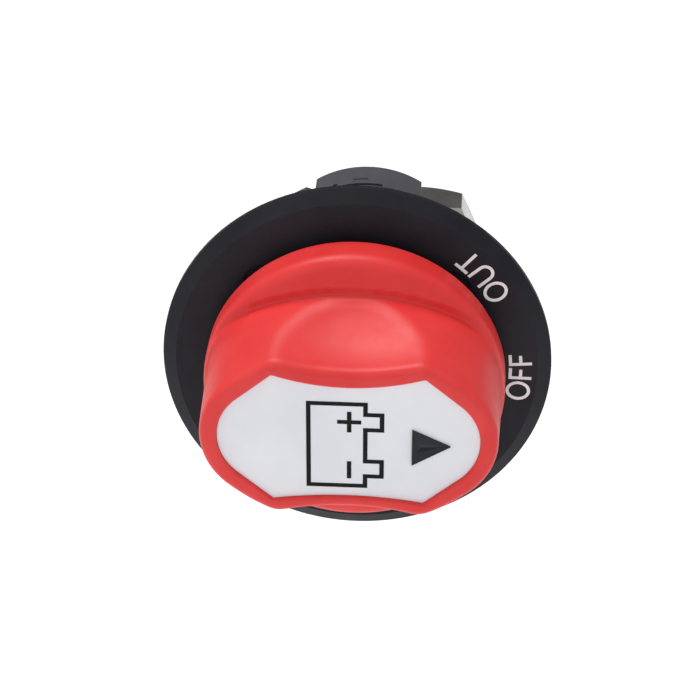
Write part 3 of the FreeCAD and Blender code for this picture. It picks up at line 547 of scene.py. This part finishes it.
def flank_angle(nose):
    """Where the nose's arc meets the straight flank, as seen from the axis."""
    return math.atan2(nose * math.sin(FLANK), NOSE_CENTRE + nose * math.cos(FLANK))


def nose_arc(folded, nose):
    """Distance from the axis to the nose's arc, for angles folded into one quarter."""
    across = np.sin(folded) * NOSE_CENTRE
    return NOSE_CENTRE * np.cos(folded) + np.sqrt(np.maximum(nose ** 2 - across ** 2, 0))


def fold(angles):
    """Angles folded into the first quarter."""
    return np.arctan2(np.abs(np.sin(angles)), np.abs(np.cos(angles)))


def grip_reach(angles, rise):
    """Distance from the axis to the grip's side, where rise is 0 at the skirt and 1 at the top."""
    folded = fold(angles)
    nose = LABEL_NOSE + LIP
    line = (NOSE_CENTRE * math.cos(FLANK) + nose) / np.cos(folded - FLANK)
    end = np.where(folded < flank_angle(nose), nose_arc(folded, nose), line)
    end = (SKIRT_RADIUS - GRIP_FOOT_IN) * (1 - rise) + end * rise
    bow = BASE_ARC + (SIDE_ARC - BASE_ARC) * rise
    drop = CREASE - CROWN_FALL * rise - bow
    side = drop * np.sin(folded) + np.sqrt(bow ** 2 - (drop * np.cos(folded)) ** 2)
    return soft_min(end, side, GRIP_CORNER_ROUND)


def label_reach(angles, grow):
    """Distance from the axis to the label's edge, grown outwards."""
    folded = fold(angles)
    nose = LABEL_NOSE + grow
    corner_u, corner_v = LABEL_CORNER
    start_u, start_v = NOSE_CENTRE + nose * math.cos(FLANK), nose * math.sin(FLANK)
    slope = (corner_v + grow - start_v) / (corner_u - start_u)
    line = (start_v - slope * start_u) / (np.sin(folded) - slope * np.cos(folded))
    waist = np.where(np.sin(angles) > 0, LABEL_WAIST_UPPER, LABEL_WAIST_LOWER)
    sag = corner_v - waist
    bow = (corner_u ** 2 + sag ** 2) / (2 * sag)
    top = waist + grow + bow
    inside = bow ** 2 - (top * np.cos(folded)) ** 2
    hollow = top * np.sin(folded) - np.sqrt(np.maximum(inside, 0))
    edge = np.where(folded < flank_angle(nose), nose_arc(folded, nose), line)
    return np.where(folded > math.atan2(corner_v + grow, corner_u), hollow, edge)


def scoop_depth(u, v, w, inset):
    """How far a point lies inside the barrel, lying along u, that hollows the grip's side."""
    away = np.hypot(np.abs(v) - SCOOP_OUT, w - SCOOP_HEIGHT)
    return SCOOP_ARC + inset - np.hypot(u, away + SCOOP_ARC - SCOOP_REACH)


def shell_field(points, inset=0.0):
    """A field that is negative inside the knob's outer form, pulled in by inset."""
    outside = inset == 0
    u, v, w = points[..., 0], points[..., 1], points[..., 2]
    away = np.hypot(u, v)
    slope = (SKIRT_RADIUS - SHOULDER_IN - away) * SHOULDER_SLOPE
    shoulder = (w - (SKIRT_TOP - inset) - slope) * SHOULDER_SCALE
    skirt = soft_max(away - (SKIRT_RADIUS - inset), shoulder, SHOULDER_ROUND)
    rise = np.clip((w - SKIRT_TOP) / (GRIP_TOP - SKIRT_TOP), 0, 1)
    side = away - (grip_reach(np.arctan2(v, u), rise) - inset)
    if outside:
        valley = VALLEY_RADIUS - np.hypot(side - VALLEY_OUT, shoulder - VALLEY_UP)
        skirt = soft_max(skirt, valley, VALLEY_ROUND)
    grip = soft_max(side, scoop_depth(u, v, w, inset), SCOOP_ROUND)
    grip = soft_max(grip, w - (GRIP_TOP - inset), RIM_ROUND if outside else RIM_ROUND_INSIDE)
    return soft_min(skirt, grip, FOOT_ROUND if outside else FOOT_ROUND_INSIDE)


def cast(angles, targets, inset):
    """Rings of surface points on rays from the core through the rings of a guide profile."""
    rings = []
    core = np.array([0, 0, SHELL_CORE])
    for reach_out, height in targets:
        aim = flat_ring(angles, reach_out, height) - core
        aim /= np.linalg.norm(aim, axis=-1, keepdims=True)
        near = np.zeros(len(angles))
        far = np.full(len(angles), RAY_REACH)
        for _ in range(RAY_HALVINGS):
            middle = (near + far) / 2
            outside = shell_field(core + aim * middle[:, None], inset) > 0
            far = np.where(outside, middle, far)
            near = np.where(outside, near, middle)
        rings.append(core + aim * near[:, None])
    return rings


def flat_ring(angles, reach_out, height):
    """A ring of points at one height."""
    heights = np.zeros(len(angles)) + height
    return np.stack([reach_out * np.cos(angles), reach_out * np.sin(angles), heights], -1)


def guide_rings(*stops):
    """Guide rings spaced evenly through (reach, height, rings up to the next stop) stops."""
    rings = []
    for low, high in zip(stops, stops[1:]):
        for step in range(low[2]):
            part = [low[axis] + (high[axis] - low[axis]) * step / low[2] for axis in (0, 1)]
            rings.append(part)
    return rings + [stops[-1][:2]]


# The skirt's foot, as (in from the skirt's radius, up from its bottom).
SKIRT_FOOT = [(WALL, 0.3), (WALL - 0.3, 0), (0.5, 0), (0.15, 0.14)]
# The lip's inner edge, as (out from the label's edge, down from the grip's top).
LIP_EDGE = [(0.45, 0.02), (0.15, 0.10), (0, 0.28)]
LABEL_GAP = 0.05
FOOT_RISE, FOOT_IN = 0.1, 1.2
HEAD_RISE = 0.9
FLOOR_MIDDLE = 0.3
ROOF_MIDDLE = 2.0


def make_knob_shell():
    """Skirt, shoulder, waisted grip with thumb scoops, lip round the label, and the hollow."""
    angles = np.linspace(0, 2 * math.pi, AROUND, endpoint=False)
    inner = label_reach(angles, LABEL_GAP)
    foot = grip_reach(angles, FOOT_RISE) - FOOT_IN
    head = np.minimum(grip_reach(angles, HEAD_RISE), inner + LIP)
    rings = [flat_ring(angles, SKIRT_RADIUS - side, SKIRT_BOTTOM + up) for side, up in SKIRT_FOOT]
    hollow_edge = rings[0]
    # The guides only aim the rays: up the skirt, over the shoulder, to the grip's foot, up its side
    # and over the rim to the lip.
    rings += cast(angles, guide_rings(
        (SKIRT_RADIUS, SKIRT_BOTTOM + 0.5, 4),
        (SKIRT_RADIUS, 9.6, 10),
        (np.maximum(foot, 24.2), 11.9, 22),
        (foot, 13.9, 36),
        (head, 25.0, 16),
        (inner + 0.8, GRIP_TOP, 0),
    ), 0)
    rings += [flat_ring(angles, inner + out, GRIP_TOP - down) for out, down in LIP_EDGE]
    rings += [
        flat_ring(angles, inner, LABEL_BOTTOM),
        flat_ring(angles, inner * FLOOR_MIDDLE, LABEL_BOTTOM),
    ]
    # The hollow side, cast the same way from a form set in by the wall.
    inside = [hollow_edge] + cast(angles, guide_rings(
        (SKIRT_RADIUS - WALL, SKIRT_BOTTOM + 0.8, 6),
        (22.0, 10.2, 10),
        (foot - WALL, 11.6, 12),
        (head - WALL, 24.4, 0),
    ), WALL)
    inside.append(flat_ring(angles, ROOF_MIDDLE, GRIP_TOP - WALL))
    parts = []
    for form in (rings, inside):
        faces = ring_faces(len(form), AROUND)
        faces.append(tuple(range((len(form) - 1) * AROUND, len(form) * AROUND)))
        parts.append(([tuple(p) for ring in form for p in ring], faces))
    points, faces = gather(parts)
    shell = add_piece("knob_moulding", points, faces, RED, "knob")
    sharpen(shell, SHELL_SHARP)
    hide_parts("knob_shell")


# ------------------------------------------------------------------------- strokes: print and words

SHARPEST_MITRE = 0.35


def stroke_rails(points, width, closed=False):
    """The two rails of a flat ribbon of even width along a line of (x, y) points."""
    line = [Vector(p) for p in points]
    count = len(line)
    left, right = [], []
    for index, point in enumerate(line):
        one = two = None
        if index > 0 or closed:
            one = (point - line[index - 1]).normalized()
        if index < count - 1 or closed:
            two = (line[(index + 1) % count] - point).normalized()
        along = ((one or two) + (two or one)).normalized()
        normal = Vector((-along.y, along.x))
        grow = 1.0
        if one is not None and two is not None:
            grow = 1.0 / max(SHARPEST_MITRE, normal.dot(Vector((-one.y, one.x))))
        left.append(point + normal * width / 2 * grow)
        right.append(point - normal * width / 2 * grow)
    return left, right


def ribbon(points, width, low, high, closed=False):
    """The points and faces of a thin raised ribbon between two heights, in plan (x, y)."""
    left, right = stroke_rails(points, width, closed)
    corners, faces = [], []
    for one, two in zip(left, right):
        corners += [
            (one.x, one.y, low), (one.x, one.y, high), (two.x, two.y, high), (two.x, two.y, low),
        ]
    last = len(left) if closed else len(left) - 1
    for index in range(last):
        here = index * 4
        there = ((index + 1) % len(left)) * 4
        for side in range(4):
            turn = (side + 1) % 4
            faces.append((here + side, here + turn, there + turn, there + side))
    if not closed:
        end = last * 4
        faces += [(3, 2, 1, 0), (end, end + 1, end + 2, end + 3)]
    return corners, faces


INK_HEIGHT = 0.05
# The printed battery, as points on the label's own plan.
SIGN_LOW = (-6.6, -9.2)
SIGN_HIGH = (2.85, 6.9)
SIGN_LINE = 0.75
POST_MIDDLES = (3.43, -5.75)
POST_HALF = 1.48
POST_REACH = 2.75
PLUS = (0.17, 3.40)
PLUS_ARM = 2.0
MINUS_ENDS = (-7.75, -4.35)
MARK_LINE = 0.74


def make_battery_sign():
    """The printed battery outline, with its two posts, a plus and a minus."""
    left, low = SIGN_LOW
    right, high = SIGN_HIGH
    outline = [(left, low), (left, high), (right, high)]
    for middle in POST_MIDDLES:
        outline += [
            (right, middle + POST_HALF), (right + POST_REACH, middle + POST_HALF),
            (right + POST_REACH, middle - POST_HALF), (right, middle - POST_HALF),
        ]
    outline.append((right, low))
    levels = (LABEL_TOP, LABEL_TOP + INK_HEIGHT)
    plus_u, plus_v = PLUS
    marks = [[(plus_u - PLUS_ARM, plus_v), (plus_u + PLUS_ARM, plus_v)]]
    for way in (1, -1):
        marks.append([(plus_u, plus_v + way * MARK_LINE / 2), (plus_u, plus_v + way * PLUS_ARM)])
    marks.append([(plus_u, end) for end in MINUS_ENDS])
    strokes = [ribbon(outline, SIGN_LINE, *levels, True)]
    strokes += [ribbon(mark, MARK_LINE, *levels) for mark in marks]
    points, faces = gather(strokes)
    add_piece("battery_sign", points, faces, BLACK_INK, "knob", False)


def arc_points(centre, radii, start, end, steps=14):
    """Points round an ellipse, with angles in degrees."""
    made = []
    for step in range(steps + 1):
        angle = math.radians(start + (end - start) * step / steps)
        across, up = radii[0] * math.cos(angle), radii[1] * math.sin(angle)
        made.append((centre[0] + across, centre[1] + up))
    return made


LETTER_HEIGHT = 4.0
LETTER_LINE = 0.55
LETTER_GAP = 0.14
# Each stroke stands a hair above the one before, so that crossings never share a face.
STROKE_STEP = 0.004

# Plain capitals on a unit-high grid, as (width, list of (points, closed) strokes).
BOWL = arc_points((0.40, 0.34), (0.32, 0.32), 180, 360, 16)
LETTERS = {
    "O": (0.86, [(arc_points((0.43, 0.5), (0.40, 0.47), 0, 345, 30), True)]),
    "F": (0.56, [
        ([(0.08, 0.0), (0.08, 1.0)], False),
        ([(0.10, 0.93), (0.56, 0.93)], False),
        ([(0.10, 0.48), (0.50, 0.48)], False),
    ]),
    "U": (0.80, [([(0.08, 1.0)] + BOWL + [(0.72, 1.0)], False)]),
    "T": (0.68, [
        ([(0.0, 0.93), (0.68, 0.93)], False),
        ([(0.34, 0.0), (0.34, 0.92)], False),
    ]),
    "N": (0.84, [
        ([(0.08, 0.0), (0.08, 1.0)], False),
        ([(0.10, 0.98), (0.74, 0.02)], False),
        ([(0.76, 0.0), (0.76, 1.0)], False),
    ]),
}

# Each position word, with its middle's angle in degrees and its distance from the axis.
WORDS = (("OFF", -2.3, 28.6), ("OUT", 40.6, 28.5), ("ON", -91.5, 28.5))


def make_word(word, middle_angle, reach_out):
    """A position word round the plate, its letters' tops towards the axis."""
    total = sum(LETTERS[letter][0] for letter in word) + LETTER_GAP * (len(word) - 1)
    strokes = []
    along = -total / 2
    for letter in word:
        width, lines = LETTERS[letter]
        turn = math.radians(middle_angle) + (along + width / 2) * LETTER_HEIGHT / reach_out
        for line, closed in lines:
            placed = []
            for x, y in line:
                sideways = (x - width / 2) * LETTER_HEIGHT
                out = reach_out - (y - 0.5) * LETTER_HEIGHT
                placed.append((
                    out * math.cos(turn) - sideways * math.sin(turn),
                    out * math.sin(turn) + sideways * math.cos(turn),
                ))
            high = PLATE_TOP + INK_HEIGHT + STROKE_STEP * len(strokes)
            strokes.append(ribbon(placed, LETTER_LINE, PLATE_TOP - INK_HEIGHT, high, closed))
        along += width + LETTER_GAP
    points, faces = gather(strokes)
    add_piece(f"word_{word.lower()}", points, faces, WHITE_INK, "base", False)


# ------------------------------------------------------------------------------------ pointer arrow

ARROW_TIP_V = -0.7
ARROW_SUNK = 0.3
ARROW_FALL = 0.10
ARROW_FLOOR = 0.03
GROOVE_START = 0.85
GROOVE_HALF = 0.95
GROOVE_END = 1.1
GROOVE_DEEPEST = 1.5


def make_arrow():
    """A faceted black pointer on the label: a sloping rim round a groove that runs to its tip."""
    middle = (ARROW_LOW + ARROW_HIGH) / 2
    outline = [(ARROW_BASE, ARROW_LOW), (ARROW_TIP, ARROW_TIP_V), (ARROW_BASE, ARROW_HIGH)]
    groove = [
        (ARROW_BASE + GROOVE_START, middle - GROOVE_HALF),
        (ARROW_TIP - GROOVE_END, ARROW_TIP_V),
        (ARROW_BASE + GROOVE_START, middle + GROOVE_HALF),
    ]
    points = [(x, y, LABEL_TOP - ARROW_SUNK) for x, y in outline]
    points += [(x, y, ARROW_TOP) for x, y in outline]
    points += [(x, y, ARROW_TOP - ARROW_FALL) for x, y in groove]
    points.append((ARROW_BASE + GROOVE_DEEPEST, middle, LABEL_TOP + ARROW_FLOOR))
    faces = [(2, 1, 0), (0, 1, 4, 3), (1, 2, 5, 4), (2, 0, 3, 5)]
    faces += [(3, 4, 7, 6), (4, 5, 8, 7), (5, 3, 6, 8), (6, 7, 9), (7, 8, 9), (8, 6, 9)]
    arrow = add_piece("pointer_facets", points, faces, INSERT, "knob", False)
    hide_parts("pointer_arrow")


# ----------------------------------------------------------------------------------- threaded studs

THREAD_PITCH = 1.5
THREAD_DEPTH = 0.85
THREAD_FRONT = -29.2
THREAD_CREST = 0.92
THREAD_FLANK = 0.72
STUD_RADIUS = 5.0
STUD_OUT = 11.5
STUD_STEPS = 48
STEPS_PER_TURN = 12
THREAD_LEAD = 0.4
END_CHAMFER = 1.0
CHAMFER_SLOPE = 1.1
# The round head inside the chamber, as (radius, down from its top).
STUD_HEAD_FORM = [(0.05, 0), (5.6, 0), (5.8, 0.2), (5.8, 3.0), (STUD_RADIUS, 3.0)]


def thread_radius(height, step, turned):
    """The thread's radius at a height, at a step round the stud, some rings down from its start."""
    phase = ((THREAD_FRONT - height) / THREAD_PITCH + step / STUD_STEPS) % 1.0
    crest = 1 - abs(2 * phase - 1)
    depth = THREAD_DEPTH * min(1.0, max(0.0, (THREAD_CREST - crest) / THREAD_FLANK))
    radius = STUD_RADIUS - depth * min(1.0, turned / STEPS_PER_TURN)
    return min(radius, STUD_RADIUS - END_CHAMFER + (height - STUD_END) * CHAMFER_SLOPE)


def stud_point(middle, radius, height, step):
    """One point on a stud, a step round it."""
    angle = 2 * math.pi * step / STUD_STEPS
    return middle + radius * math.cos(angle), radius * math.sin(angle), height


def make_studs():
    """Both studs with a helical thread, a chamfered end, and the flat head inside the chamber."""
    plain = [(radius, STUD_HEAD - down) for radius, down in STUD_HEAD_FORM]
    plain.append((STUD_RADIUS, THREAD_FRONT + THREAD_LEAD))
    length = THREAD_FRONT - STUD_END
    count = int(length / THREAD_PITCH * STEPS_PER_TURN)
    parts = []
    for middle in (STUD_OUT, -STUD_OUT):
        points = []
        for radius, height in plain:
            points += [stud_point(middle, radius, height, step) for step in range(STUD_STEPS)]
        for index in range(count + 1):
            height = THREAD_FRONT - length * index / count
            for step in range(STUD_STEPS):
                radius = thread_radius(height, step, index)
                points.append(stud_point(middle, radius, height, step))
        parts.append((points, ring_faces(len(points) // STUD_STEPS, STUD_STEPS, True)))
    points, faces = gather(parts)
    studs = add_piece("threaded_studs", points, faces, NICKEL_PAINTED_DIM, "base")
    sharpen(studs, STUD_SHARP)
    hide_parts("terminal_studs")


dress_nodes()
make_studio()
make_floor()
make_knob_shell()
make_arrow()
make_battery_sign()
for word, middle_angle, reach_out in WORDS:
    make_word(word, middle_angle, reach_out)
make_studs()
